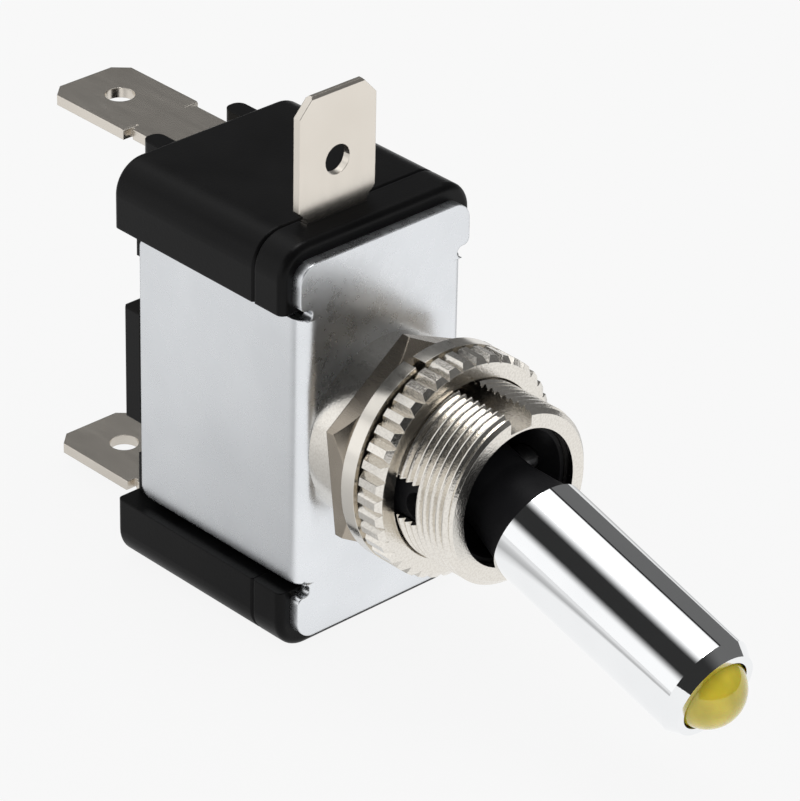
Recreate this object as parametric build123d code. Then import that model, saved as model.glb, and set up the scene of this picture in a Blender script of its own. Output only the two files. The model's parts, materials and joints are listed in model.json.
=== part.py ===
"""Illuminated toggle switch, M12 bushing, lamp in the lever tip, millimetres.

Origin: the lever pivot, on the axis of the threaded bushing.
-Y runs out of the bushing to the front, +Z is up along the body, X is across.
The lever is drawn handle down (switch off) and the rocker follows it.
"""
import math
import os

from build123d import *

# Mounting plate, bent from sheet
SHEET = 0.8
PLATE_FRONT = 9.0
FRAME_HALF_X = 6.9
PLATE_HALF_Z = 13.4
FLANGE_HALF_Z = 9.5
FLANGE_DEPTH = 15.5
BEND_OUTER = 1.2
EAR_R = 1.3
EAR_HALF_X = 7.1
EAR_FOOT_R = 0.45
RELIEF_W = 0.85
PLATE_BACK = PLATE_FRONT + SHEET
FLANGE_BACK = PLATE_FRONT + FLANGE_DEPTH
FLANGE_IN = FRAME_HALF_X - SHEET

# Insulating housing: cover in front, cup behind
HOUSE_HALF_X = 7.93
HOUSE_HALF_Z = 14.5
HOUSE_R = 2.2
COVER_DEPTH = 2.65
BACK_OVER = 1.3
COVER_BACK = PLATE_BACK + COVER_DEPTH
BASE_BACK = FLANGE_BACK + BACK_OVER
FLOOR = 1.6
FLOOR_Y = BASE_BACK - FLOOR
CAVITY_HALF_X = 5.1
CAVITY_HALF_Z = 12.5
SEAM = 0.15
FIT = 0.05
RECESS_X = FLANGE_IN - FIT
RECESS_Z = FLANGE_HALF_Z + 0.5
RIB_LOW = -4.25
RIB_HIGH = 3.75
RIB_RISE = 0.6
RIB_BEVEL = 0.4
TAB_LOW = 4.9
TAB_HIGH = 7.0
TAB_REACH = 0.6
TAB_BACK = FLANGE_BACK + 0.15
TAB_INNER = TAB_BACK - SHEET
TAB_POCKET = FIT + 0.25

# Blade terminals, 6.3 mm wide tabs
BLADE_W = 6.3
BLADE_T = 0.7
BLADE_Z = 13.45
BLADE_OUT = 12.5
BLADE_LENGTH = 7.8
BLADE_TIP = BASE_BACK + BLADE_OUT
SHOULDER_Y = BLADE_TIP - BLADE_LENGTH
NECK_HALF = 2.65
TIP_CUT_Y = 1.1
TIP_CUT_X = 1.2
HOLE_R = 1.0
HOLE_FROM_TIP = 3.7
HOLE_Y = BLADE_TIP - HOLE_FROM_TIP
LEG_Y = FLOOR_Y - BLADE_T
LOAD_LEG_END = -1.3
FEED_LEG_END = -5.0
POST_X = 3.43
POST_HALF = 0.72
POST_RISE = 1.75
POST_LOW = 12.0
POST_TOP = 14.3
MARK_LENGTH = 1.2

# Ground blade, upright, between cover and cup
GROUND_X = -1.76
GROUND_T = 0.55
GROUND_TOP = 23.0
GROUND_SHOULDER = 15.4
GROUND_HOLE_Z = 18.15
GROUND_NECK = 2.5
GROUND_LEG_END = 7.0
GROUND_FRONT = COVER_BACK - 0.8
GROUND_BACK = GROUND_FRONT + GROUND_T

# Threaded bushing and what is screwed on it
THREAD_R = 6.0
BARREL_R = 5.7
BORE_R = 4.66
COLLAR_R = 6.3
COLLAR_H = 2.5
NECK_R = 5.45
PEEN_R = 5.7
PEEN_H = 0.5
BUSH_FRONT = -3.3
BUSH_FACE_R = 5.6
THREAD_FRONT = -2.9
THREAD_BACK = 1.35
PEEN_BACK = PLATE_BACK + PEEN_H
COLLAR_FRONT = PLATE_FRONT - COLLAR_H
KEY_HALF = 0.87
KEY_DEPTH = 1.2
WINDOW_FRONT = -0.3
WINDOW_BACK = 2.6
WINDOW_LOW = -1.15
WINDOW_HIGH = 1.6
RUNOUT = 0.4
HEX_AF = 13.5
HEX_H = 1.72
HEX_CORNER_H = 0.6
HEX_TURN = 36.3
HEX_BACK = COLLAR_FRONT
HEX_FRONT = HEX_BACK - HEX_H
WASHER_IN = 6.15
WASHER_OUT = 7.5
WASHER_T = 1.1
WASHER_FREE = 1.25
WASHER_SLIT = 5.0
WASHER_TURN = 106.0
WASHER_BACK = HEX_FRONT - FIT
WASHER_FRONT = WASHER_BACK - WASHER_FREE
RING_R = 7.5
RING_FACE_R = 7.1
RING_BEVEL = 0.3
RING_H = 2.03
RING_TEETH = 40
TOOTH = 0.5
RIDGE_SHARE = 0.45
RING_SINK = 0.4
RING_MOUTH_R = 6.12
RING_BACK = WASHER_FRONT - FIT
RING_FRONT = RING_BACK - RING_H

# Carrier of the pivot, pressed into the bushing
CARRIER_R = BORE_R - 0.02
CARRIER_FRONT = -2.5
CARRIER_BACK = 5.0
CARRIER_BORE = 3.6
CARRIER_MOUTH = 4.35
TAB_R = 5.5

# Lever, measured along its own axis from the pivot
TILT = 16.5
PIN_R = 0.9
PIN_HALF = 4.55
HUB_R = 2.6
HUB_HALF = 1.9
ROOT_R = 3.3
SLEEVE_R = 3.52
SLEEVE_WALL = 0.5
SLEEVE_START = 5.2
SLEEVE_END = 21.35
SLEEVE_CUT = 0.9
SLEEVE_FACE_R = 3.05
SLEEVE_SEAM_W = 0.14
SLEEVE_SEAM_D = 0.06
LAMP_R = 2.5
LAMP_FLANGE_R = 2.85
LAMP_FLANGE = 1.0
LAMP_TIP = 23.1
LAMP_LENGTH = 8.4
LAMP_SEAT = LAMP_TIP - LAMP_LENGTH
CORE_R = SLEEVE_R - SLEEVE_WALL
CORE_BORE = 1.9
CORE_BORE_END = 3.6
ARM_R = 1.3
ARM_BORE = 0.8
ARM_END = 12.4
LEAD_HALF = 0.25
LEAD_GAP = 1.27
RESISTOR_R = 0.9
RESISTOR_L = 3.2
RESISTOR_END = 5.6
RING_S0 = 11.2
RING_S1 = 12.0
RING_OUT = 1.45

# Rocker and contacts
ROCKER_TILT = 5.0
ROCKER_GAP = 2.0
ROCKER_Y = LEG_Y - ROCKER_GAP
ROCKER_HALF_X = 1.6
ROCKER_T = 0.8
TRACK_RISE = 1.0
ROCKER_FACE = ROCKER_Y - TRACK_RISE
ROCKER_ARC = 12.95
ROCKER_ARC_HALF = 6.4
ROCKER_END = 9.5
TRUNNION_R = 0.5
TRUNNION_HALF = 2.6
CONTACT_Z = 8.2
CONTACT_R = 1.25
CONTACT_H = 0.55
FIXED_H = 0.55
FIXED_FACE = LEG_Y - FIXED_H
FIXED_R = 1.6
RIVET_R = 0.6
EAR_IN = NECK_HALF - BLADE_T
EAR_RISE = 0.45
EAR_TOP = ROCKER_Y - EAR_RISE
EAR_HALF_Z = 1.2

# Sprung plunger in the arm
STEM_R = 0.72
PLUNGER_R = 1.25
NOSE_GAP = 0.1
HEAD_LENGTH = 2.15
STEM_LENGTH = 8.5
NOSE = ROCKER_FACE - PLUNGER_R - NOSE_GAP
HEAD_START = NOSE - HEAD_LENGTH
STEM_START = HEAD_START - STEM_LENGTH
WIRE_R = 0.2
COIL_R = 1.05
COIL_TURNS = 5

# Ground leaf beside the arm
LEAF_T = 0.25
LEAF_X = -1.55
LEAF_FRONT = 10.6
LEAF_BACK = 12.3
LEAF_LOW = -4.8
LEAF_HIGH = 10.4
FOOT_T = 0.3
FOOT_REACH = 1.8
FOOT_LOW = 7.3
SLOT_HALF_X = 2.2
SLOT_HALF_Z = 5.6


def block(x0, x1, y0, y1, z0, z1):
    """Box between two corners."""
    centre = Pos((x0 + x1) / 2, (y0 + y1) / 2, (z0 + z1) / 2)
    return centre * Box(x1 - x0, y1 - y0, z1 - z0)


def rod_x(radius, x0, x1, y=0.0, z=0.0):
    """Round bar along X."""
    return Pos((x0 + x1) / 2, y, z) * Rot(0, 90, 0) * Cylinder(radius, x1 - x0)


def rod_y(radius, y0, y1, x=0.0, z=0.0):
    """Round bar along Y."""
    return Pos(x, (y0 + y1) / 2, z) * Rot(90, 0, 0) * Cylinder(radius, y1 - y0)


def turned(points):
    """Solid turned about Y from (radius, y) points."""
    return revolve(make_face(Polyline(*points, close=True)), Axis.Y, 360)


def slab(half_x, half_z, radius, y0, y1):
    """Rounded rectangle across Y, from y0 to y1."""
    face = Plane.XZ * RectangleRounded(2 * half_x, 2 * half_z, radius)
    return Pos(0, y1, 0) * extrude(face, amount=y1 - y0)


def edges_at(part, axis, position, along, tolerance=0.01):
    """Edges parallel to one axis whose middle lies at one height of another."""
    found = part.edges().filter_by(along)
    lo = position - tolerance
    hi = position + tolerance
    return found.filter_by_position(axis, lo, hi)


def tilted(part):
    """From the straight lever to the lever with its handle down."""
    return Rot(TILT, 0, 0) * part


def rocked(part):
    """From the level rocker to the rocker pushed back at its top end."""
    swing = Pos(0, ROCKER_Y, 0) * Rot(-ROCKER_TILT, 0, 0) * Pos(0, -ROCKER_Y, 0)
    return swing * part


def mounting_frame():
    """Plate with two side flanges, relief notches and four crimp tabs."""
    plate = slab(EAR_HALF_X, PLATE_HALF_Z, EAR_R, PLATE_FRONT, PLATE_BACK)
    channel = block(-FRAME_HALF_X, FRAME_HALF_X, PLATE_FRONT, FLANGE_BACK,
                    -FLANGE_HALF_Z, FLANGE_HALF_Z)
    channel -= block(-FLANGE_IN, FLANGE_IN, PLATE_BACK, FLANGE_BACK + 1,
                     -FLANGE_HALF_Z - 1, FLANGE_HALF_Z + 1)
    outer = edges_at(channel, Axis.Y, PLATE_FRONT, Axis.Z)
    channel = fillet(outer, BEND_OUTER)
    inner = edges_at(channel, Axis.Y, PLATE_BACK, Axis.Z)
    channel = fillet(inner, BEND_OUTER - SHEET)
    corners = edges_at(channel, Axis.Y, FLANGE_BACK, Axis.X)
    channel = fillet(corners, 0.8)
    relief_r = RELIEF_W / 2
    for side in (-1, 1):
        edge = side * (EAR_HALF_X + 1)
        near = side * (FRAME_HALF_X - BEND_OUTER - 0.1)
        plate -= block(min(edge, near), max(edge, near), PLATE_FRONT - 1, PLATE_BACK + 1,
                       -FLANGE_HALF_Z, FLANGE_HALF_Z)
        for end in (-1, 1):
            z = end * (FLANGE_HALF_Z + relief_r)
            x = side * (FLANGE_IN + relief_r)
            plate -= block(min(x, edge), max(x, edge), PLATE_FRONT - 1, PLATE_BACK + 1,
                           z - relief_r, z + relief_r)
            plate -= rod_y(relief_r, PLATE_FRONT - 1, PLATE_BACK + 1, x, z)
    foot = FLANGE_HALF_Z + RELIEF_W
    outer = edges_at(plate, Axis.X, -EAR_HALF_X, Axis.Y) + edges_at(plate, Axis.X, EAR_HALF_X, Axis.Y)
    outer = [edge for edge in outer if abs(abs(edge.center().Z) - foot) < 0.01]
    plate = fillet(outer, EAR_FOOT_R)
    frame = plate + channel
    for side in (-1, 1):
        for end in (-1, 1):
            frame += crimp_tab(side, end)
    return frame - rod_y(NECK_R + FIT, PLATE_FRONT - 1, PLATE_BACK + 1)


def crimp_tab(side, end):
    """Tab of a flange bent into its pocket in the cup."""
    z0 = min(end * TAB_LOW, end * TAB_HIGH)
    z1 = max(end * TAB_LOW, end * TAB_HIGH)
    outer = side * FRAME_HALF_X
    inner = side * FLANGE_IN
    tip = side * (FLANGE_IN - TAB_REACH)
    strap = block(min(inner, outer), max(inner, outer), FLANGE_BACK - 1, TAB_BACK, z0, z1)
    strap += block(min(tip, outer), max(tip, outer), TAB_INNER, TAB_BACK, z0, z1)
    bend = strap.edges().filter_by(Axis.Z).group_by(Axis.Y)[-1]
    bend = bend.sort_by(Axis.X)[-1 if side > 0 else 0]
    return fillet(bend, SHEET - 0.05)


def threaded_bushing():
    """Bushing: thread, barrel under the nuts, collar, neck and peened rim."""
    shape = turned([
        (BORE_R, BUSH_FRONT), (BUSH_FACE_R, BUSH_FRONT), (THREAD_R, THREAD_FRONT),
        (THREAD_R, THREAD_BACK), (BARREL_R, THREAD_BACK + RUNOUT),
        (BARREL_R, COLLAR_FRONT), (COLLAR_R, COLLAR_FRONT), (COLLAR_R, PLATE_FRONT),
        (NECK_R, PLATE_FRONT), (NECK_R, PLATE_BACK), (PEEN_R, PLATE_BACK),
        (NECK_R, PEEN_BACK), (BORE_R, PEEN_BACK)])
    for side in (-1, 1):
        edge = side * (THREAD_R + 1)
        shape -= block(min(0, edge), max(0, edge), WINDOW_FRONT, WINDOW_BACK,
                       WINDOW_LOW, WINDOW_HIGH)
    key_floor = THREAD_R - KEY_DEPTH
    key = block(-KEY_HALF, KEY_HALF, BUSH_FRONT - 1, COLLAR_FRONT - 0.2,
                key_floor, THREAD_R + 1)
    return shape - key


def pivot_carrier():
    """Black insert that holds the pivot pin inside the bushing."""
    shape = turned([
        (CARRIER_MOUTH, CARRIER_FRONT), (CARRIER_R, CARRIER_FRONT),
        (CARRIER_R, CARRIER_BACK), (CARRIER_BORE, CARRIER_BACK),
        (CARRIER_BORE, 1.6)])
    catch = rod_y(TAB_R, WINDOW_FRONT + FIT, WINDOW_BACK - FIT)
    catch -= rod_y(CARRIER_R - 0.3, WINDOW_FRONT - 1, WINDOW_BACK + 1)
    window = block(-TAB_R - 1, TAB_R + 1, WINDOW_FRONT - 1, WINDOW_BACK + 1,
                   WINDOW_LOW + FIT, WINDOW_HIGH - FIT)
    shape += catch & window
    return shape - rod_x(PIN_R + FIT, -TAB_R - 1, TAB_R + 1)


def hex_nut():
    """Thin hexagon nut with chamfered corners in front."""
    flat = Plane.XZ * RegularPolygon(HEX_AF / 2, 6, major_radius=False, rotation=HEX_TURN)
    body = Pos(0, HEX_BACK, 0) * extrude(flat, amount=HEX_H)
    corner = HEX_AF / math.sqrt(3)
    edge = HEX_BACK - HEX_CORNER_H
    cone = turned([
        (0, HEX_FRONT), (HEX_AF / 2 - FIT, HEX_FRONT), (corner + 0.01, edge),
        (corner + 1, edge), (corner + 1, HEX_BACK), (0, HEX_BACK)])
    body = body & cone
    return body - rod_y(BARREL_R + FIT, HEX_FRONT - 1, HEX_BACK + 1)


def spring_washer():
    """Split lock washer: one square-cut turn that climbs by its spring height."""
    mean = (WASHER_IN + WASHER_OUT) / 2
    width = WASHER_OUT - WASHER_IN
    climb = WASHER_FREE - WASHER_T
    share = (360.0 - WASHER_SLIT) / 360.0
    path = Helix(pitch=climb / share, height=climb, radius=mean)
    start = Plane(origin=path @ 0, x_dir=(1, 0, 0), z_dir=path % 0)
    ring = sweep(start * Rectangle(width, WASHER_T), path=path, is_frenet=True)
    ring = Rot(90, 0, 0) * ring
    centre = ring.bounding_box().center().Y
    middle = (WASHER_BACK + WASHER_FRONT) / 2
    turn = WASHER_TURN + WASHER_SLIT / 2
    return Rot(0, -turn, 0) * (Pos(0, middle - centre, 0) * ring)


def knurled_ring_nut():
    """Round nut with straight knurling, flat ridges, a bevel and a wide mouth."""
    points = []
    for tooth in range(RING_TEETH):
        middle = 2 * math.pi * tooth / RING_TEETH
        flat = math.pi * RIDGE_SHARE / RING_TEETH
        half = math.pi / RING_TEETH
        for angle, radius in ((middle - flat, RING_R), (middle + flat, RING_R),
                              (middle + half, RING_R - TOOTH)):
            points.append((radius * math.cos(angle), radius * math.sin(angle)))
    star = Plane.XZ * make_face(Polyline(*points, close=True))
    body = Pos(0, RING_BACK, 0) * extrude(star, amount=RING_H)
    bore = BARREL_R + FIT
    mask = turned([
        (bore, RING_FRONT + RING_SINK), (RING_MOUTH_R, RING_FRONT), (RING_FACE_R, RING_FRONT),
        (RING_R + 0.02, RING_FRONT + RING_BEVEL), (RING_R + 0.02, RING_BACK - 0.25),
        (RING_R - TOOTH, RING_BACK), (bore, RING_BACK)])
    return body & mask


def front_cover():
    """Flat moulded cover with the lever slot and pockets for the ground parts."""
    body = slab(HOUSE_HALF_X, HOUSE_HALF_Z, HOUSE_R, PLATE_BACK, COVER_BACK)
    body = fillet(body.edges().group_by(Axis.Y)[0], 0.5)
    body = chamfer(body.edges().group_by(Axis.Y)[-1], SEAM)
    body = side_recess(body, PLATE_BACK - 1, COVER_BACK + 1)
    for side in (-1, 1):
        rim = body.edges().filter_by(Axis.Z).group_by(Axis.Y)[0]
        rim = rim.filter_by_position(Axis.X, side * RECESS_X - 0.02, side * RECESS_X + 0.02)
        body = chamfer(rim, BEND_OUTER - SHEET)
    body -= block(-SLOT_HALF_X, SLOT_HALF_X, PLATE_BACK - 1, COVER_BACK + 1,
                  -SLOT_HALF_Z, SLOT_HALF_Z)
    body -= rod_y(PEEN_R + 0.1, PLATE_BACK - 1, PEEN_BACK + 0.1)
    body -= block(GROUND_X - GROUND_NECK - FIT, GROUND_X + GROUND_NECK + FIT,
                  GROUND_FRONT, COVER_BACK + 1, GROUND_LEG_END - FIT, HOUSE_HALF_Z + 1)
    leaf_out = LEAF_X - LEAF_T
    body -= block(leaf_out - 0.1, LEAF_X + 0.1, LEAF_FRONT - 0.1, COVER_BACK + 1,
                  LEAF_LOW, GROUND_LEG_END)
    body -= block(leaf_out - 0.1, LEAF_X + 0.1, LEAF_FRONT - 0.1, GROUND_FRONT + 0.1,
                  LEAF_LOW, LEAF_HIGH + 0.1)
    body -= block(leaf_out - FOOT_REACH - 0.1, LEAF_X + 0.1, GROUND_FRONT - FOOT_T,
                  GROUND_FRONT + 0.1, FOOT_LOW - 0.1, LEAF_HIGH + 0.1)
    return body


def side_recess(body, y0, y1):
    """Both long sides stepped in where the flanges lie."""
    for side in (-1, 1):
        far = side * (HOUSE_HALF_X + 1)
        near = side * RECESS_X
        body -= block(min(near, far), max(near, far), y0, y1, -RECESS_Z, RECESS_Z)
    return body


def base_housing():
    """Deep moulded cup that holds the contact parts."""
    body = slab(HOUSE_HALF_X, HOUSE_HALF_Z, HOUSE_R, COVER_BACK, BASE_BACK)
    body = chamfer(body.edges().group_by(Axis.Y)[0], SEAM)
    body = fillet(body.edges().group_by(Axis.Y)[-1], 0.4)
    body -= block(-CAVITY_HALF_X, CAVITY_HALF_X, COVER_BACK - 1, FLOOR_Y,
                  -CAVITY_HALF_Z, CAVITY_HALF_Z)
    pocket_x = NECK_HALF + 0.15
    pocket_z = BLADE_Z + FIT
    body -= block(-pocket_x, pocket_x, COVER_BACK - 1, FLOOR_Y, -pocket_z, pocket_z)
    body = side_recess(body, COVER_BACK - 1, BASE_BACK + 1)
    body += rear_rib()
    for side in (-1, 1):
        tip = side * (FLANGE_IN - TAB_REACH - FIT)
        edge = side * (RECESS_X + 1)
        for end in (-1, 1):
            rib_end = RIB_HIGH if end > 0 else RIB_LOW
            far = end * (TAB_HIGH + TAB_POCKET)
            body -= block(min(tip, edge), max(tip, edge), TAB_INNER, BASE_BACK + 1,
                          min(rib_end, far), max(rib_end, far))
    body += block(GROUND_X - GROUND_NECK, GROUND_X + GROUND_NECK, GROUND_BACK, COVER_BACK + 0.2,
                  pocket_z + 0.1, HOUSE_HALF_Z - 0.3)
    for end in (-1, 1):
        z0 = min(end * (BLADE_Z - BLADE_T - FIT), end * pocket_z)
        z1 = max(end * (BLADE_Z - BLADE_T - FIT), end * pocket_z)
        body -= block(-NECK_HALF - FIT, NECK_HALF + FIT, FLOOR_Y - 1, BASE_BACK + 1, z0, z1)
        for side in (-1, 1):
            body += guard_post(side, end)
    return body


def rear_rib():
    """Raised band across the back that reaches out over the edges of the flanges."""
    rib = block(-FRAME_HALF_X, FRAME_HALF_X, FLANGE_BACK + FIT, BASE_BACK + RIB_RISE,
                RIB_LOW, RIB_HIGH)
    ends = edges_at(rib, Axis.Y, BASE_BACK + RIB_RISE, Axis.Z)
    rib = chamfer(ends, RIB_BEVEL)
    corners = rib.edges().filter_by(Axis.X).group_by(Axis.Y)[-1]
    return fillet(corners, RIB_BEVEL / 2)


def guard_post(side, end):
    """Short rounded post beside the neck of a rear blade."""
    x = side * POST_X
    z0 = min(end * POST_LOW, end * POST_TOP)
    z1 = max(end * POST_LOW, end * POST_TOP)
    post = block(x - POST_HALF, x + POST_HALF, BASE_BACK - 0.5, BASE_BACK + POST_RISE, z0, z1)
    tip = post.edges().group_by(Axis.Y)[-1].filter_by(Axis.Z)
    return fillet(tip, POST_HALF - 0.1)


def blade(points_half, hole_at):
    """Tab outline from one half of (across, along) points, with its hole."""
    mirrored = [(-u, v) for u, v in reversed(points_half)]
    face = make_face(Polyline(*points_half, *mirrored, close=True))
    return face - Pos(0, hole_at) * Circle(HOLE_R)


def rear_blade():
    """Flat part of a rear terminal in the XY plane, extruded to its thickness."""
    half = BLADE_W / 2
    outline = [
        (NECK_HALF, LEG_Y), (NECK_HALF, SHOULDER_Y - 0.35), (NECK_HALF - 0.2, SHOULDER_Y - 0.35),
        (NECK_HALF - 0.2, SHOULDER_Y), (half, SHOULDER_Y), (half, BLADE_TIP - TIP_CUT_Y),
        (half - TIP_CUT_X, BLADE_TIP)]
    flat = extrude(blade(outline, HOLE_Y), amount=BLADE_T)
    flat = Pos(0, 0, BLADE_Z - BLADE_T) * flat
    tip = edges_at(flat, Axis.Y, BLADE_TIP, Axis.X)
    flat = chamfer(tip, 0.2)
    for side in (-1, 1):
        inner = side * (half - MARK_LENGTH)
        outer = side * (half + 0.1)
        flat -= rod_x(0.12, min(inner, outer), max(inner, outer), SHOULDER_Y, BLADE_Z + 0.05)
    return flat


def load_terminal():
    """Top blade, its leg on the floor and the cradle of the rocker."""
    part = rear_blade()
    part += block(-NECK_HALF, NECK_HALF, LEG_Y, FLOOR_Y, LOAD_LEG_END, BLADE_Z - 0.01)
    for side in (-1, 1):
        x0 = min(side * EAR_IN, side * NECK_HALF)
        x1 = max(side * EAR_IN, side * NECK_HALF)
        part += block(x0, x1, EAR_TOP, FLOOR_Y, -EAR_HALF_Z, EAR_HALF_Z)
    part -= rod_x(TRUNNION_R + FIT, -NECK_HALF - 1, NECK_HALF + 1, ROCKER_Y)
    part -= block(-NECK_HALF - 1, NECK_HALF + 1, EAR_TOP - 1, ROCKER_Y,
                  -TRUNNION_R - FIT, TRUNNION_R + FIT)
    return part


def feed_terminal():
    """Bottom blade and its leg with the rivet hole."""
    part = mirror(rear_blade(), about=Plane.XY)
    part += block(-NECK_HALF, NECK_HALF, LEG_Y, FLOOR_Y, -BLADE_Z + 0.01, FEED_LEG_END)
    return part - rod_y(RIVET_R + 0.02, LEG_Y - 1, FLOOR_Y + 1, 0, -CONTACT_Z)


def fixed_contact():
    """Contact rivet in the leg of the feed terminal."""
    head = rod_y(FIXED_R, FIXED_FACE, LEG_Y, 0, -CONTACT_Z)
    head = chamfer(head.edges().group_by(Axis.Y)[0], 0.15)
    return head + rod_y(RIVET_R, LEG_Y - 0.1, FLOOR_Y, 0, -CONTACT_Z)


def ground_terminal():
    """Upright blade with its leg between cover and cup."""
    half = BLADE_W / 2
    outline = [
        (GROUND_NECK, GROUND_LEG_END), (GROUND_NECK, GROUND_SHOULDER - 0.7),
        (half, GROUND_SHOULDER), (half, GROUND_TOP - TIP_CUT_X),
        (half - TIP_CUT_Y, GROUND_TOP)]
    face = Plane.XZ * blade(outline, GROUND_HOLE_Z)
    plate = Pos(GROUND_X, GROUND_BACK, 0) * extrude(face, amount=GROUND_T)
    return chamfer(edges_at(plate, Axis.Z, GROUND_TOP, Axis.X), 0.15)


def ground_spring():
    """Leaf beside the arm, with a foot against the leg of the ground blade."""
    out = LEAF_X - LEAF_T
    leaf = block(out, LEAF_X, LEAF_FRONT, LEAF_BACK, LEAF_LOW, GROUND_LEG_END - FIT)
    leaf += block(out, LEAF_X, LEAF_FRONT, GROUND_FRONT, LEAF_LOW, LEAF_HIGH)
    return leaf + block(out - FOOT_REACH, LEAF_X, GROUND_FRONT - FOOT_T, GROUND_FRONT,
                        FOOT_LOW, LEAF_HIGH)


def lever_core():
    """Moulded lever body: tube in the sleeve, tapered root, hub and bored arm."""
    tube_end = LAMP_SEAT - FIT
    shape = turned([
        (0, -CORE_BORE_END), (CORE_BORE, -CORE_BORE_END), (CORE_BORE, -tube_end),
        (CORE_R - FIT, -tube_end), (CORE_R - FIT, -SLEEVE_START), (ROOT_R, -SLEEVE_START),
        (HUB_R, -HUB_HALF), (HUB_R, HUB_HALF), (ARM_R, HUB_HALF + 1.3),
        (ARM_R, ARM_END), (0, ARM_END)])
    shape -= rod_y(ARM_BORE, 2.0, ARM_END + 1)
    shape -= rod_x(PIN_R, -HUB_R - 1, HUB_R + 1)
    return tilted(shape)


def lever_sleeve():
    """Bright tube over the lever, stepped inside to hold the lamp."""
    step = LAMP_SEAT + LAMP_FLANGE
    shape = turned([
        (CORE_R, -SLEEVE_START), (SLEEVE_R, -SLEEVE_START),
        (SLEEVE_R, SLEEVE_CUT - SLEEVE_END), (SLEEVE_FACE_R, -SLEEVE_END),
        (LAMP_R + FIT, -SLEEVE_END), (LAMP_R + FIT, -step), (CORE_R, -step)])
    seam = block(-SLEEVE_SEAM_W / 2, SLEEVE_SEAM_W / 2, SLEEVE_CUT - SLEEVE_END, 1 - SLEEVE_START,
                 SLEEVE_R - SLEEVE_SEAM_D, SLEEVE_R + 1)
    return tilted(shape - seam)


def led_lamp():
    """Round lamp with flange and domed end."""
    straight = LAMP_TIP - LAMP_R
    shape = rod_y(LAMP_R, -straight, -LAMP_SEAT)
    shape += Pos(0, -straight, 0) * Sphere(LAMP_R)
    shape += rod_y(LAMP_FLANGE_R, -LAMP_SEAT - LAMP_FLANGE, -LAMP_SEAT)
    return tilted(shape)


def lead(x, start, end):
    """Square lamp lead beside the lever axis."""
    return block(x - LEAD_HALF, x + LEAD_HALF, -start, -end, -LEAD_HALF, LEAD_HALF)


def anode_lead():
    """Lead from the lamp to the resistor."""
    end = RESISTOR_END + RESISTOR_L + 0.6
    part = lead(LEAD_GAP, LAMP_SEAT, end)
    part += block(-LEAD_HALF, LEAD_GAP + LEAD_HALF, -end - 2 * LEAD_HALF, -end,
                  -LEAD_HALF, LEAD_HALF)
    return tilted(part)


def cathode_lead():
    """Lead from the lamp back along the bore of the lever."""
    return tilted(lead(-LEAD_GAP - 0.3, LAMP_SEAT, CORE_BORE_END + 0.4))


def series_resistor():
    """Small axial resistor with its two short wires."""
    body = rod_y(RESISTOR_R, -RESISTOR_END - RESISTOR_L, -RESISTOR_END, 0.35)
    body = chamfer(body.edges(), 0.2)
    body += rod_y(0.25, -RESISTOR_END - RESISTOR_L - 0.6, -RESISTOR_END - RESISTOR_L + 0.4, 0.35)
    body += rod_y(0.25, -RESISTOR_END - 0.4, -CORE_BORE_END - 0.1, 0.35)
    return tilted(body)


def pivot_pin():
    """Cross pin, pressed in the lever hub and turning in the carrier."""
    pin = rod_x(PIN_R, -PIN_HALF, PIN_HALF)
    return tilted(chamfer(pin.edges(), 0.12))


def wiper_ring():
    """Contact ring near the end of the arm."""
    ring = rod_y(RING_OUT, RING_S0, RING_S1)
    return tilted(ring - rod_y(ARM_R, RING_S0 - 1, RING_S1 + 1))


def plunger():
    """Stem in the arm with a round-nosed head."""
    shape = rod_y(STEM_R, STEM_START, HEAD_START + 0.1)
    shape += rod_y(PLUNGER_R, HEAD_START, NOSE)
    shape += Pos(0, NOSE, 0) * Sphere(PLUNGER_R)
    return tilted(shape)


def plunger_spring():
    """Coil around the plunger stem, from the arm to the head."""
    length = HEAD_START - ARM_END - 2 * WIRE_R - 0.06
    path = Helix(pitch=length / COIL_TURNS, height=length, radius=COIL_R)
    start = Plane(origin=path @ 0, z_dir=path % 0)
    coil = sweep(start * RegularPolygon(WIRE_R, 6), path=path, is_frenet=True)
    coil = Rot(-90, 0, 0) * coil
    return tilted(Pos(0, ARM_END + WIRE_R + 0.03, 0) * coil)


def contact_rocker():
    """Bent strip with a curved track, two flat wings and a cross bar."""
    centre = ROCKER_FACE - ROCKER_ARC
    front_end = centre + math.sqrt(ROCKER_ARC ** 2 - ROCKER_ARC_HALF ** 2)
    outer = ROCKER_ARC + ROCKER_T
    inner_half = ROCKER_ARC_HALF - 0.5
    back_end = centre + math.sqrt(outer ** 2 - inner_half ** 2)
    wing = ROCKER_Y - ROCKER_T
    z1 = ROCKER_ARC_HALF + 1.0
    z2 = ROCKER_ARC_HALF + 0.45
    front = ThreePointArc((front_end, -ROCKER_ARC_HALF), (ROCKER_FACE, 0),
                          (front_end, ROCKER_ARC_HALF))
    back = ThreePointArc((back_end, inner_half), (ROCKER_FACE + ROCKER_T, 0),
                         (back_end, -inner_half))
    top = Polyline((front_end, ROCKER_ARC_HALF), (wing, z1), (wing, ROCKER_END),
                   (ROCKER_Y, ROCKER_END), (ROCKER_Y, z2), (back_end, inner_half))
    bottom = Polyline((back_end, -inner_half), (ROCKER_Y, -z2), (ROCKER_Y, -ROCKER_END),
                      (wing, -ROCKER_END), (wing, -z1), (front_end, -ROCKER_ARC_HALF))
    face = make_face(Curve() + [front, top, back, bottom])
    strip = extrude(Plane.YZ * face, amount=ROCKER_HALF_X, both=True)
    strip += rod_x(TRUNNION_R, -TRUNNION_HALF, TRUNNION_HALF, ROCKER_Y)
    hole = rod_y(RIVET_R + 0.02, wing - 1, ROCKER_Y + 1, 0, -CONTACT_Z)
    return rocked(strip - hole)


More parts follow.
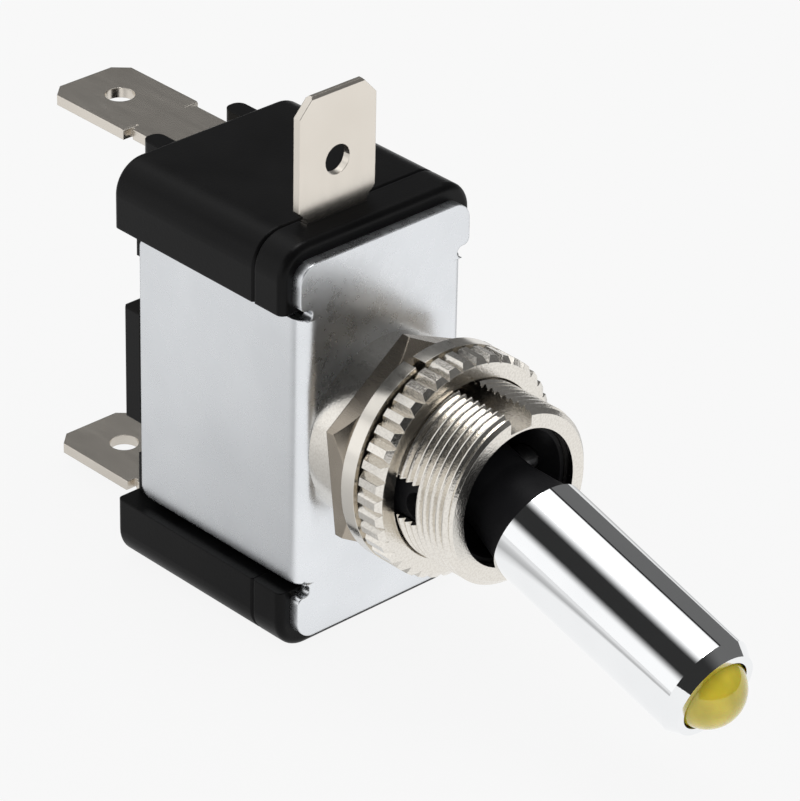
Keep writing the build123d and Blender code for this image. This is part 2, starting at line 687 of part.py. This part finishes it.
def moving_contact():
    """Contact rivet on the lower wing of the rocker."""
    head = rod_y(CONTACT_R, ROCKER_Y, ROCKER_Y + CONTACT_H, 0, -CONTACT_Z)
    head = chamfer(head.edges().group_by(Axis.Y)[-1], 0.12)
    head += rod_y(RIVET_R, ROCKER_Y - ROCKER_T, ROCKER_Y + 0.1, 0, -CONTACT_Z)
    return rocked(head)


PARTS = [
    mounting_frame, threaded_bushing, pivot_carrier, hex_nut, spring_washer,
    knurled_ring_nut, front_cover, base_housing, load_terminal, feed_terminal,
    fixed_contact, ground_terminal, ground_spring, lever_core, lever_sleeve,
    led_lamp, anode_lead, cathode_lead, series_resistor, pivot_pin, wiper_ring,
    plunger, plunger_spring, contact_rocker, moving_contact]


def main():
    """Write one STEP file for each piece."""
    os.makedirs("parts", exist_ok=True)
    for make in PARTS:
        part = make()
        name = make.__name__
        part.label = name
        export_step(part, f"parts/{name}.step")


main()
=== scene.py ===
"""Looks of an illuminated toggle switch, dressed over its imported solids.

Lengths are millimetres, unless a docstring says metres, and Blender gets metres.
-Y runs out of the threaded bushing to the front, +Z up along the body.
"""
import json
import logging
import math
from collections.abc import Iterable, Iterator
from contextlib import contextmanager
from dataclasses import dataclass
from enum import Enum
from functools import cache, partial, reduce

import bmesh
import bpy
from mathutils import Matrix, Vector

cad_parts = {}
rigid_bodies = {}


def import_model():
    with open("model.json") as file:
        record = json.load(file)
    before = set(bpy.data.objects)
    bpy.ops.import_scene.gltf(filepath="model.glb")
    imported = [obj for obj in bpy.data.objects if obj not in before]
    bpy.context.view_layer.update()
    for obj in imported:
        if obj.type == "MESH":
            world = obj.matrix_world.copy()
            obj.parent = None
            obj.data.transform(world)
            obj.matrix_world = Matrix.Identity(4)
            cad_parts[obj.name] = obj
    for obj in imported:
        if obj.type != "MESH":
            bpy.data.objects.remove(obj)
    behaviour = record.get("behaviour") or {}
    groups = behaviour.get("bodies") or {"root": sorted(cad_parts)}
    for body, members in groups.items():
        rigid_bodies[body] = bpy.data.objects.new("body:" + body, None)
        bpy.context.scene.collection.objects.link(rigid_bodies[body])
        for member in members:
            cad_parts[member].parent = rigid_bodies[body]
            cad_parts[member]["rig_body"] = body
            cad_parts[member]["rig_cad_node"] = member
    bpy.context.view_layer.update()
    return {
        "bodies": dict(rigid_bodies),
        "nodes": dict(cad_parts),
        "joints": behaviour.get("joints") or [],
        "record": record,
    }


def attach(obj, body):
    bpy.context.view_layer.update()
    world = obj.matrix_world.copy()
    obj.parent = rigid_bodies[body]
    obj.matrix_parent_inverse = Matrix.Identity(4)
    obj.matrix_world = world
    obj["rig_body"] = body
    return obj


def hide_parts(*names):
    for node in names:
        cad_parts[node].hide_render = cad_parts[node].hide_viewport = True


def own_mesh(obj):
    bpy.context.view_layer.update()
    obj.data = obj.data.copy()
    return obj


LOG = logging.getLogger("toggle_switch")
MM = 0.001
MERGE_DISTANCE = 0.001
SMOOTH_ANGLE = math.radians(28)
BEVEL_SAMPLES = 6

Triple = tuple[float, float, float]
Socket = bpy.types.NodeSocket

LEFT_BACK: Triple = (-0.95, 0.30, 0.0)
HIGH_BACK: Triple = (-0.25, 0.75, 0.60)
RIGHT: Triple = (1.0, 0.0, 0.0)
BACK: Triple = (0.0, 1.0, 0.0)
UP: Triple = (0.0, 0.0, 1.0)


class Body(Enum):
    """Rigid bodies that the added pieces ride on."""

    HOUSING = "housing"
    LEVER = "lever"


@dataclass(frozen=True)
class Ramp:
    """A level that changes over a stretch of some other value.

    Attributes:
        start: Value where the change starts.
        end: Value where it ends.
        low: Level at and before start.
        high: Level at and after end.
    """

    start: float
    end: float
    low: float = 0.0
    high: float = 1.0


@dataclass(frozen=True)
class Grain:
    """A noise pattern.

    Attributes:
        scale: Features per metre.
        detail: Octaves of finer noise.
        stretch: Scale along each axis, or None for the pattern as it is.
    """

    scale: float
    detail: float
    stretch: Triple | None = None


@dataclass(frozen=True)
class Bump:
    """A grain that raises the surface.

    Attributes:
        grain: The pattern.
        strength: Strength of the relief, from 0 to 1.
        height: Its height.
    """

    grain: Grain
    strength: float
    height: float


BROAD = Grain(180.0, 2.0)
PLATING = Grain(5600.0, 6.0)
PLATE_SHEEN = Grain(1400.0, 4.0)
DRAW_LINES = Grain(2200.0, 5.0, (1.0, 0.15, 0.15))
TURN_LINES = Grain(3000.0, 4.0, (1.0, 0.3, 1.0))
PEBBLES = Grain(6400.0, 5.0)
MOULD_CLOUDS = Grain(260.0, 3.0)
MOULD_GRAIN = Grain(6500.0, 3.0)
LENS_HAZE = Grain(500.0, 2.0)
LENS_SHEEN = Grain(2500.0, 2.0)
FLOOR_CLOUDS = Grain(3.0, 2.0)
MOULD_HEIGHT = 0.03
SOFT_ENDS = (0.3, 0.7)


@dataclass(frozen=True)
class Texture:
    """What breaks up the surface of a metal.

    Attributes:
        sheen: Pattern of the roughness.
        bumps: Layers of the relief.
        tint: Pattern of the colour.
        ends: Values of that pattern that show the dark and the light colour.
    """

    sheen: Grain
    bumps: tuple[Bump, ...]
    tint: Grain = BROAD
    ends: tuple[float, float] = SOFT_ENDS


class Surface(Enum):
    """Ways in which the surface of a metal was made."""

    PLATED = Texture(PLATE_SHEEN, (Bump(BROAD, 0.06, 0.2), Bump(PLATING, 0.05, 0.03)))
    DRAWN = Texture(DRAW_LINES, (Bump(BROAD, 0.12, 0.2), Bump(DRAW_LINES, 0.06, 0.02)))
    TURNED = Texture(TURN_LINES, (Bump(TURN_LINES, 0.05, 0.02),))
    TUMBLED = Texture(PEBBLES, (Bump(PEBBLES, 0.40, 0.03),), PEBBLES, (0.40, 0.56))


class NodeSheet:
    """Adds nodes to one node tree."""

    def __init__(self, tree: bpy.types.NodeTree) -> None:
        """Take the tree.

        Args:
            tree: The tree that the nodes go into.
        """
        self.tree = tree

    def feed(self, node: bpy.types.Node, inputs: dict[str | int, object]) -> None:
        """Link or set sockets of a node.

        Args:
            node: The node.
            inputs: Output of another node or value for each socket.
        """
        for socket, source in inputs.items():
            if isinstance(source, Socket):
                self.tree.links.new(source, node.inputs[socket])
            else:
                node.inputs[socket].default_value = source

    def add(self, kind: str, inputs: dict[str | int, object] | None = None) -> bpy.types.Node:
        """Add a node.

        Args:
            kind: Type of the node, without the word ShaderNode in front.
            inputs: Output of another node or value for each socket that isn't left alone.

        Returns:
            The node.
        """
        node = self.tree.nodes.new("ShaderNode" + kind)
        self.feed(node, inputs or {})
        return node

    def ramped(self, value: Socket, ramp: Ramp, smooth: bool = False) -> Socket:
        """Send a value through a ramp.

        Args:
            value: The value.
            ramp: The ramp.
            smooth: Whether the ramp starts and ends softly.

        Returns:
            The level.
        """
        node = self.add("MapRange", {"Value": value, "From Min": ramp.start,
                                     "From Max": ramp.end, "To Min": ramp.low,
                                     "To Max": ramp.high})
        if smooth:
            node.interpolation_type = "SMOOTHSTEP"
        return node.outputs["Result"]

    def math(self, operation: str, first: Socket, second: Socket | float) -> Socket:
        """Join two levels with a mathematical operation.

        Args:
            operation: Name of the operation.
            first: The first level.
            second: The second level.

        Returns:
            The result.
        """
        node = self.add("Math", {0: first, 1: second})
        node.operation = operation
        return node.outputs["Value"]

    def mixed(self, share: Socket, first: Socket, second: Socket) -> Socket:
        """Mix two shaders.

        Args:
            share: Share of the second one.
            first: The first shader.
            second: The second shader.

        Returns:
            The mix.
        """
        return self.add("MixShader", {"Fac": share, 1: first, 2: second}).outputs["Shader"]


class ShaderSheet(NodeSheet):
    """Adds nodes to one material and joins them to its main shader."""

    def __init__(self, name: str) -> None:
        """Start a material with its object coordinates.

        Args:
            name: Name of the material.
        """
        self.material = bpy.data.materials.new(name)
        self.material.use_nodes = True
        super().__init__(self.material.node_tree)
        self.shader = self.tree.nodes["Principled BSDF"]
        self.place = self.add("TexCoord").outputs["Object"]
        self.patterns: dict[Grain, Socket] = {}

    def set(self, **inputs: object) -> None:
        """Link or set sockets of the main shader.

        Args:
            inputs: Output of another node or value for each socket, whose name has
                underscores for its spaces.
        """
        self.feed(self.shader, {name.replace("_", " "): source
                                for name, source in inputs.items()})

    def noise(self, grain: Grain) -> Socket:
        """Return a grain's values, from one node however often they are asked for.

        Args:
            grain: The pattern.

        Returns:
            The pattern's value.
        """
        if grain not in self.patterns:
            place = self.place
            if grain.stretch:
                node = self.add("Mapping", {"Vector": place, "Scale": grain.stretch})
                place = node.outputs["Vector"]
            node = self.add("TexNoise", {"Vector": place, "Scale": grain.scale,
                                         "Detail": grain.detail})
            self.patterns[grain] = node.outputs["Fac"]
        return self.patterns[grain]

    def blend(self, grain: Grain, dark: Triple, light: Triple,
              ends: tuple[float, float] = SOFT_ENDS) -> Socket:
        """Colour a grain.

        Args:
            grain: The pattern.
            dark: Colour at and below the lower end.
            light: Colour at and above the upper end.
            ends: The two ends.

        Returns:
            The colour.
        """
        node = self.add("ValToRGB", {"Fac": self.noise(grain)})
        for index, (position, colour) in enumerate(zip(ends, (dark, light))):
            stop = node.color_ramp.elements[index]
            stop.position = position
            stop.color = (*colour, 1.0)
        return node.outputs["Color"]

    def spread(self, grain: Grain, levels: tuple[float, float]) -> Socket:
        """Return a grain's values, spread from the first level to the second."""
        return self.ramped(self.noise(grain), Ramp(0.0, 1.0, *levels))

    def relief(self, bumps: Iterable[Bump], edge: float) -> None:
        """Bump the surface and soften its edges.

        Args:
            bumps: Layers of the relief.
            edge: Radius of the softened edges, or 0 for none.
        """
        normal = None
        if edge > 0:
            node = self.add("Bevel", {"Radius": edge * MM})
            node.samples = BEVEL_SAMPLES
            normal = node.outputs["Normal"]
        for bump in bumps:
            inputs = {"Height": self.noise(bump.grain), "Strength": bump.strength,
                      "Distance": bump.height * MM}
            if normal is not None:
                inputs["Normal"] = normal
            normal = self.add("Bump", inputs).outputs["Normal"]
        self.set(Normal=normal)


@dataclass(frozen=True)
class MetalFinish:
    """Bare or plated metal.

    Attributes:
        name: Name of the material.
        dark: Its darkest colour.
        light: Its lightest colour.
        rough: Its least and its most roughness.
        surface: Way in which the surface was made.
        edge: Radius of the softened edges.
    """

    name: str
    dark: Triple
    light: Triple
    rough: tuple[float, float]
    surface: Surface
    edge: float = 0.08

    def material(self) -> bpy.types.Material:
        """Return the finish as a material."""
        sheet = ShaderSheet(self.name)
        texture = self.surface.value
        sheet.set(Metallic=1.0, Roughness=sheet.spread(texture.sheen, self.rough),
                  Base_Color=sheet.blend(texture.tint, self.dark, self.light, texture.ends))
        sheet.relief(texture.bumps, self.edge)
        return sheet.material


@dataclass(frozen=True)
class PlasticFinish:
    """Moulded plastic with a fine grain.

    Attributes:
        name: Name of the material.
        dark: Its darkest colour.
        light: Its lightest colour.
        rough: Its least and its most roughness.
        grain: Strength of the fine grain, from 0 to 1.
        edge: Radius of the softened edges.
        gloss: Strength of the mirroring.
    """

    name: str
    dark: Triple
    light: Triple
    rough: tuple[float, float]
    grain: float
    edge: float = 0.15
    gloss: float = 0.12

    def material(self) -> bpy.types.Material:
        """Return the finish as a material."""
        sheet = ShaderSheet(self.name)
        sheet.set(Specular_IOR_Level=self.gloss,
                  Roughness=sheet.spread(MOULD_CLOUDS, self.rough),
                  Base_Color=sheet.blend(MOULD_CLOUDS, self.dark, self.light))
        sheet.relief([Bump(MOULD_GRAIN, self.grain, MOULD_HEIGHT)], self.edge)
        return sheet.material


@dataclass(frozen=True)
class LensFinish:
    """Tinted epoxy of the lamp.

    Attributes:
        name: Name of the material.
        dark: Its darkest colour.
        light: Its lightest colour.
        rough: Its least and its most roughness.
        depth: How far light goes on under the surface.
    """

    name: str = "tinted_lens"
    dark: Triple = (0.36, 0.30, 0.02)
    light: Triple = (0.54, 0.44, 0.035)
    rough: tuple[float, float] = (0.08, 0.16)
    depth: float = 1.2

    def material(self) -> bpy.types.Material:
        """Return the finish as a material."""
        sheet = ShaderSheet(self.name)
        sheet.set(Base_Color=sheet.blend(LENS_HAZE, self.dark, self.light),
                  Roughness=sheet.spread(LENS_SHEEN, self.rough), IOR=1.52,
                  Coat_Weight=0.6, Coat_Roughness=0.04, Subsurface_Weight=0.35,
                  Subsurface_Scale=self.depth * MM)
        return sheet.material


Finish = MetalFinish | PlasticFinish | LensFinish

ZINC = MetalFinish("zinc_plate", (0.74, 0.76, 0.785), (0.80, 0.82, 0.845), (0.22, 0.34),
                   Surface.PLATED, 0.15)
NICKEL = MetalFinish("bright_nickel", (0.75, 0.715, 0.655), (0.83, 0.795, 0.735),
                     (0.10, 0.24), Surface.TURNED, 0.05)
ROUGH_NICKEL = MetalFinish("tumbled_nickel", (0.73, 0.695, 0.64), (0.79, 0.76, 0.705),
                           (0.10, 0.26), Surface.TUMBLED, 0.03)
DARK_NICKEL = MetalFinish("satin_nickel", (0.33, 0.29, 0.24), (0.46, 0.41, 0.345),
                          (0.20, 0.34), Surface.DRAWN, 0.10)
CHROME = MetalFinish("chrome_sleeve", (0.84, 0.85, 0.86), (0.88, 0.89, 0.90),
                     (0.035, 0.06), Surface.TURNED, 0.0)
TIN = MetalFinish("tinned_blade", (0.73, 0.68, 0.61), (0.78, 0.73, 0.66), (0.20, 0.30),
                  Surface.DRAWN, 0.06)
BRASS = MetalFinish("bare_brass", (0.62, 0.45, 0.20), (0.74, 0.56, 0.28), (0.22, 0.36),
                    Surface.DRAWN)
BRONZE = MetalFinish("spring_bronze", (0.58, 0.36, 0.20), (0.70, 0.46, 0.28),
                     (0.24, 0.38), Surface.DRAWN)
SILVER = MetalFinish("silver_contact", (0.80, 0.79, 0.76), (0.90, 0.89, 0.86),
                     (0.22, 0.34), Surface.TURNED)
STEEL = MetalFinish("ground_steel", (0.50, 0.50, 0.51), (0.60, 0.60, 0.61),
                    (0.18, 0.30), Surface.TURNED)
WIRE = MetalFinish("drawn_wire", (0.44, 0.44, 0.45), (0.56, 0.56, 0.57), (0.22, 0.36),
                   Surface.DRAWN)
HOUSING_BLACK = PlasticFinish("housing_black", (0.0018, 0.0018, 0.002),
                              (0.0036, 0.0036, 0.0038), (0.26, 0.42), 0.18)
INSERT_BLACK = PlasticFinish("insert_black", (0.006, 0.006, 0.007),
                             (0.012, 0.012, 0.013), (0.38, 0.52), 0.25, 0.08)
LACQUER = PlasticFinish("resistor_lacquer", (0.50, 0.38, 0.22), (0.64, 0.50, 0.32),
                        (0.28, 0.40), 0.05)
LENS = LensFinish()

COATS: dict[str, Finish] = {
    "mounting_frame": ZINC,
    "hex_nut": DARK_NICKEL,
    "spring_washer": NICKEL,
    "knurled_ring_nut": ROUGH_NICKEL,
    "front_cover": HOUSING_BLACK,
    "base_housing": HOUSING_BLACK,
    "load_terminal": TIN,
    "feed_terminal": TIN,
    "ground_terminal": TIN,
    "lever_sleeve": CHROME,
    "lever_core": INSERT_BLACK,
    "led_lamp": LENS,
    "pivot_carrier": INSERT_BLACK,
    "fixed_contact": BRASS,
    "plunger": BRASS,
    "contact_rocker": BRASS,
    "wiper_ring": BRASS,
    "ground_spring": BRONZE,
    "moving_contact": SILVER,
    "pivot_pin": STEEL,
    "anode_lead": WIRE,
    "cathode_lead": WIRE,
    "series_resistor": LACQUER,
}


@cache
def material_of(finish: Finish) -> bpy.types.Material:
    """Return a finish as a material, made when it is first asked for."""
    return finish.material()


def grey(level: float) -> tuple[float, float, float, float]:
    """Return a level as a colour."""
    return (level, level, level, 1.0)


def deselect() -> None:
    """Leave every object unselected."""
    for item in bpy.data.objects:
        item.select_set(False)


def take(piece: bpy.types.Object) -> None:
    """Make one object the selected and active one."""
    deselect()
    piece.select_set(True)
    bpy.context.view_layer.objects.active = piece


@contextmanager
def editing(piece: bpy.types.Object) -> Iterator[None]:
    """Open a piece's mesh for edits, with all of it selected, and close it after them."""
    take(piece)
    bpy.ops.object.mode_set(mode="EDIT")
    bpy.ops.mesh.select_all(action="SELECT")
    yield
    bpy.ops.object.mode_set(mode="OBJECT")


def dress(piece: bpy.types.Object, material: bpy.types.Material) -> None:
    """Give a piece one material in every slot."""
    if not piece.material_slots:
        piece.data.materials.append(material)
    for holder in piece.material_slots:
        holder.material = material


def apply_modifier(piece: bpy.types.Object, modifier: bpy.types.Modifier) -> None:
    """Apply a modifier on its piece."""
    take(piece)
    bpy.ops.object.modifier_apply(modifier=modifier.name)


def smooth(piece: bpy.types.Object) -> None:
    """Shade a piece smoothly, except across its edges."""
    take(piece)
    bpy.ops.object.shade_smooth_by_angle(angle=SMOOTH_ANGLE)


def merged_copy(plain: bpy.types.Object, name: str) -> bpy.types.Object:
    """Copy a solid, join its loose triangles and let its curves shade smoothly.

    Args:
        plain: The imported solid.
        name: Name of the copy.

    Returns:
        The copy, on no body yet.
    """
    piece = plain.copy()
    piece.data = plain.data.copy()
    piece.name = name
    piece.parent = None
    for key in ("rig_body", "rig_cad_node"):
        if key in piece:
            del piece[key]
    bpy.context.scene.collection.objects.link(piece)
    take(piece)
    bpy.ops.mesh.customdata_custom_splitnormals_clear()
    with editing(piece):
        bpy.ops.mesh.remove_doubles(threshold=MERGE_DISTANCE * MM)
    smooth(piece)
    return piece


@dataclass
class Dressing:
    """Finishes of the solids that are shown as they are.

    Attributes:
    """

    frame: dict

    def build(self) -> None:
        """Give every such solid its finish."""
        for node, finish in COATS.items():
            dress(self.frame["nodes"][node], material_of(finish))
            LOG.info("%s wears %s", node, finish.name)


@dataclass
class Spring:
    """Coil that the plunger presses against the arm's inner end.

    Attributes:
        start: Place of the coil's fixed end. Not used.
        axis: Direction from there to the plunger. Not used.
        length: Length of the coil. Not used.
        travel: How far the plunger goes in. Not used.
    """

    start: Triple = (0.0, 11.918, 3.53)
    axis: Triple = (0.0, 0.95882, 0.28402)
    length: float = 4.44
    travel: float = 0.8

    def build(self, frame: dict) -> bpy.types.Object:
        """Replace the solid coil by a merged, smoothly shaded copy that rides on the lever.

        Returns:
            The coil.
        """
        coil = merged_copy(frame["nodes"]["plunger_spring"], "sprung_coil")
        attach(coil, Body.LEVER.value)
        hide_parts("plunger_spring")
        dress(coil, material_of(WIRE))
        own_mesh(coil)
        return coil


@dataclass
class ThreadedBushing:
    """Bushing with a real helical thread on its free end.

    Attributes:
        pitch: Distance from one turn to the next.
        crest: Radius of the thread's crest.
        root: Radius of its root.
        flat: Width of the flat on the crest.
        tip: Half the width of the groove at the root.
        lip: Height over the crest up to which the groove widens.
        reach: Height over the crest up to which the groove's bar goes.
        front: Y that the groove has to reach at the front.
        back: Y where it ends at the back.
        steps: Number of straight lengths in one turn.
    """

    pitch: float = 0.57
    crest: float = 6.0
    root: float = 5.66
    flat: float = 0.07
    tip: float = 0.02
    lip: float = 0.03
    reach: float = 0.5
    front: float = -3.3
    back: float = 1.8
    steps: int = 64

    def outline(self) -> list[tuple[float, float]]:
        """Return the groove's outline, as radii with distances along the axis."""
        half = (self.pitch - self.flat) / 2
        wide, outer = self.crest + self.lip, self.crest + self.reach
        return [(self.root, -self.tip), (self.root, self.tip), (wide, half), (outer, half),
                (outer, -half), (wide, -half)]

    def groove(self) -> bpy.types.Object:
        """Return the thread's groove as one closed helical bar."""
        turns = math.ceil((self.back - self.front) / self.pitch) + 1
        start = self.back - turns * self.pitch
        deselect()
        bpy.ops.mesh.primitive_plane_add(size=MM)
        bar = bpy.context.active_object
        bar.name = "thread_groove"
        bar.data.clear_geometry()
        mesh = bmesh.new()
        ring = [mesh.verts.new((r * MM, (start + y) * MM, 0)) for r, y in self.outline()]
        for pair in zip(ring, ring[1:] + ring[:1]):
            mesh.edges.new(pair)
        mesh.to_mesh(bar.data)
        mesh.free()
        screw = bar.modifiers.new("helix", "SCREW")
        screw.axis = "Y"
        screw.angle = 2 * math.pi
        screw.screw_offset = self.pitch * MM
        screw.iterations = turns
        screw.steps = self.steps
        screw.render_steps = self.steps
        apply_modifier(bar, screw)
        with editing(bar):
            bpy.ops.mesh.remove_doubles(threshold=MERGE_DISTANCE * MM)
            bpy.ops.mesh.select_all(action="DESELECT")
            bpy.ops.mesh.select_non_manifold()
            bpy.ops.mesh.edge_face_add()
            bpy.ops.mesh.select_all(action="SELECT")
            bpy.ops.mesh.normals_make_consistent(inside=False)
        return bar

    def build(self, frame: dict) -> bpy.types.Object:
        """Cut the thread into a copy of the solid bushing.


        Returns:
            The threaded piece, in place of the plain one.
        """
        piece = merged_copy(frame["nodes"]["threaded_bushing"], "bushing_with_thread")
        bar = self.groove()
        cut = piece.modifiers.new("cut", "BOOLEAN")
        cut.operation = "DIFFERENCE"
        cut.object = bar
        cut.solver = "EXACT"
        apply_modifier(piece, cut)
        bpy.data.objects.remove(bar)
        smooth(piece)
        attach(piece, Body.HOUSING.value)
        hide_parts("threaded_bushing")
        dress(piece, material_of(ROUGH_NICKEL))
        LOG.info("bushing with thread: %d faces", len(piece.data.polygons))
        return piece


class RoomSheet(NodeSheet):
    """Adds nodes to the world, as functions of the direction that a ray goes."""

    def __init__(self, tree: bpy.types.NodeTree) -> None:
        """Clear the tree and read the ray's direction.

        Args:
            tree: Node tree of the world.
        """
        super().__init__(tree)
        self.tree.nodes.clear()
        self.way = self.add("TexCoord").outputs["Generated"]

    def product(self, edges: Iterable[tuple[Triple, Ramp]]) -> Socket:
        """Return the light of one shape in the room.

        Args:
            edges: Directions, each with a ramp over the cosine between it and the ray.

        Returns:
            The product of all the levels.
        """
        levels = []
        for toward, ramp in edges:
            dot = self.add("VectorMath", {0: self.way, 1: Vector(toward).normalized()})
            dot.operation = "DOT_PRODUCT"
            levels.append(self.ramped(dot.outputs["Value"], ramp, smooth=True))
        return reduce(partial(self.math, "MULTIPLY"), levels)

    def background(self, colour: Socket | tuple[float, float, float, float]) -> Socket:
        """Return a background of that colour."""
        return self.add("Background", {"Color": colour}).outputs["Background"]

    def finish(self, level: Socket, backdrop: float, ambient: float) -> None:
        """Show mirror rays one level, the camera a second one and all other rays a third.

        Args:
            level: What polished surfaces see.
            backdrop: Level that the camera sees.
            ambient: Level that lights rough surfaces.
        """
        path = self.add("LightPath")
        lit = self.mixed(path.outputs["Is Glossy Ray"], self.background(grey(ambient)),
                         self.background(level))
        shown = self.mixed(path.outputs["Is Camera Ray"], lit, self.background(grey(backdrop)))
        self.add("OutputWorld", {"Surface": shown})


@dataclass
class Studio:
    """Camera, floor, lamp and surroundings.

    Attributes:
        camera_at: Place of the camera.
        camera_turn: Its turn about each axis in degrees.
        sensor: Width of its sensor.
        lens: Its focal length.
        shift: Shift of its picture, in widths of the picture.
        clip: Nearest and furthest that it sees.
        floor_z: Height of the floor.
        floor_side: Side of the floor.
        floor_cells: Faces along a side.
        floor_tones: Darkest and lightest tone of the floor.
        floor_glow: Ramps along Y, in metres, of which mirror rays see the brighter one, a
            painted glow of the floor with a painted shade under the switch where its shadow
            falls.
        backdrop: Level that the camera sees behind the switch.
        ambient: Level that lights rough surfaces.
        shadow: Share of the lit floor, with its shadows, in what the camera sees of it.
        room: What polished surfaces see, each shape as the product of its edges.
    """

    camera_at: Triple = (-180.48, -183.40, 152.39)
    camera_turn: Triple = (60.3323, -1.0414, -42.8311)
    sensor: float = 36.0
    lens: float = 217.447
    shift: tuple[float, float] = (-0.00319, -0.00925)
    clip: tuple[float, float] = (10.0, 20000.0)
    floor_z: float = -14.52
    floor_side: float = 4000.0
    floor_cells: int = 8
    floor_tones: tuple[float, float] = (0.80, 0.84)
    # Painted glow for mirror rays, bright in front of the switch, dipping to a painted shade
    # under it at Y 15 mm and bright again behind it.
    floor_glow: tuple[Ramp, Ramp] = (Ramp(0.007, 0.015, 1.06, 0.50),
                                     Ramp(0.015, 0.048, 0.55, 0.92))
    backdrop: float = 0.935
    ambient: float = 1.0
    shadow: float = 0.04
    room: tuple[tuple[str, tuple[tuple[Triple, Ramp], ...]], ...] = (
        ("dim wall", ((RIGHT, Ramp(-0.15, 0.45, 0.03, 0.15)),)),
        ("card at the back", ((HIGH_BACK, Ramp(0.86, 0.95)),)),
        ("card at the left", ((UP, Ramp(0.36, 0.64, 1.1, 0.0)), (LEFT_BACK, Ramp(0.70, 0.82)))),
        ("lamp overhead", ((UP, Ramp(0.62, 0.74, 0.0, 1.35)), (BACK, Ramp(-0.10, 0.04)),
                           (RIGHT, Ramp(-0.40, -0.04)), (RIGHT, Ramp(0.46, 0.62, 1.0, 0.0)))),
    )

    def camera(self) -> None:
        """Place the camera where the photograph was taken from."""
        data = bpy.data.cameras.new("photo_camera")
        data.sensor_width = self.sensor
        data.sensor_fit = "HORIZONTAL"
        data.lens = self.lens
        data.shift_x, data.shift_y = self.shift
        data.clip_start, data.clip_end = (distance * MM for distance in self.clip)
        holder = bpy.data.objects.new("photo_camera", data)
        holder.location = Vector(self.camera_at) * MM
        holder.rotation_euler = [math.radians(turn) for turn in self.camera_turn]
        bpy.context.scene.collection.objects.link(holder)
        bpy.context.scene.camera = holder

    def floor(self) -> None:
        """Lay a pale floor under the housing."""
        deselect()
        bpy.ops.mesh.primitive_grid_add(
            x_subdivisions=self.floor_cells, y_subdivisions=self.floor_cells,
            size=self.floor_side * MM, location=(0, 0, self.floor_z * MM))
        plane = bpy.context.active_object
        plane.name = "studio_floor"
        bpy.ops.object.transform_apply(location=True)
        dress(plane, self.floor_material())

    def floor_material(self) -> bpy.types.Material:
        """Return the floor's material.

        The camera sees the backdrop with faint shadows, mirror rays see a painted glow that
        changes along Y, with a painted shade under the switch, and all other rays see a pale
        matt surface.

        Returns:
            The material.
        """
        sheet = ShaderSheet("studio_floor")
        dark, light = ((tone,) * 3 for tone in self.floor_tones)
        sheet.set(Base_Color=sheet.blend(FLOOR_CLOUDS, dark, light), Roughness=0.9,
                  Specular_IOR_Level=0.1)
        path = sheet.add("LightPath")
        seen, mirrored = path.outputs["Is Camera Ray"], path.outputs["Is Glossy Ray"]
        along = sheet.add("SeparateXYZ", {"Vector": sheet.place}).outputs["Y"]
        # Painted glow along Y for mirror rays, dimmest under the switch as a painted shade
        # where its shadow falls.
        painted_glow_and_shade = sheet.math("MAXIMUM", *(sheet.ramped(along, ramp) for ramp in self.floor_glow))
        strength = sheet.math("ADD", seen, sheet.math("MULTIPLY", mirrored, painted_glow_and_shade))
        glow = sheet.add("Emission", {"Color": grey(self.backdrop), "Strength": strength})
        share = sheet.math("MAXIMUM", mirrored, sheet.math("MULTIPLY", seen, 1.0 - self.shadow))
        shown = sheet.mixed(share, sheet.shader.outputs["BSDF"], glow.outputs["Emission"])
        sheet.feed(sheet.tree.nodes["Material Output"], {"Surface": shown})
        return sheet.material

    def lamp(self, name: str, place: Triple, size: float, power: float) -> None:
        """Hang one soft square lamp that faces the switch.

        Args:
            name: Name of the lamp.
            place: Its place.
            size: Its side.
            power: Its power in watts.
        """
        data = bpy.data.lights.new(name, "AREA")
        data.size = size * MM
        data.energy = power
        holder = bpy.data.objects.new(name, data)
        holder.location = Vector(place) * MM
        holder.rotation_euler = (-Vector(place)).to_track_quat("-Z", "Y").to_euler()
        bpy.context.scene.collection.objects.link(holder)

    def surroundings(self) -> None:
        """Surround the switch with the room that polished parts reflect."""
        world = bpy.data.worlds.new("studio_room")
        bpy.context.scene.world = world
        world.use_nodes = True
        sheet = RoomSheet(world.node_tree)
        levels = []
        for name, edges in self.room:
            LOG.info("the room has a %s", name)
            levels.append(sheet.product(edges))
        brightest = reduce(partial(sheet.math, "MAXIMUM"), levels)
        sheet.finish(brightest, self.backdrop, self.ambient)

    def build(self) -> None:
        """Set up the whole studio."""
        bpy.context.scene.view_settings.view_transform = "Standard"
        self.camera()
        self.floor()
        self.surroundings()
        self.lamp("key_lamp", place=(60.0, 40.0, 400.0), size=160.0, power=0.5)


def main() -> None:
    """Load the frame, dress the switch and set up the studio."""
    logging.basicConfig(level=logging.INFO)
    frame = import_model()
    Studio().build()
    Dressing(frame).build()
    Spring().build(frame)
    ThreadedBushing().build(frame)


if __name__ == "__main__":
    main()
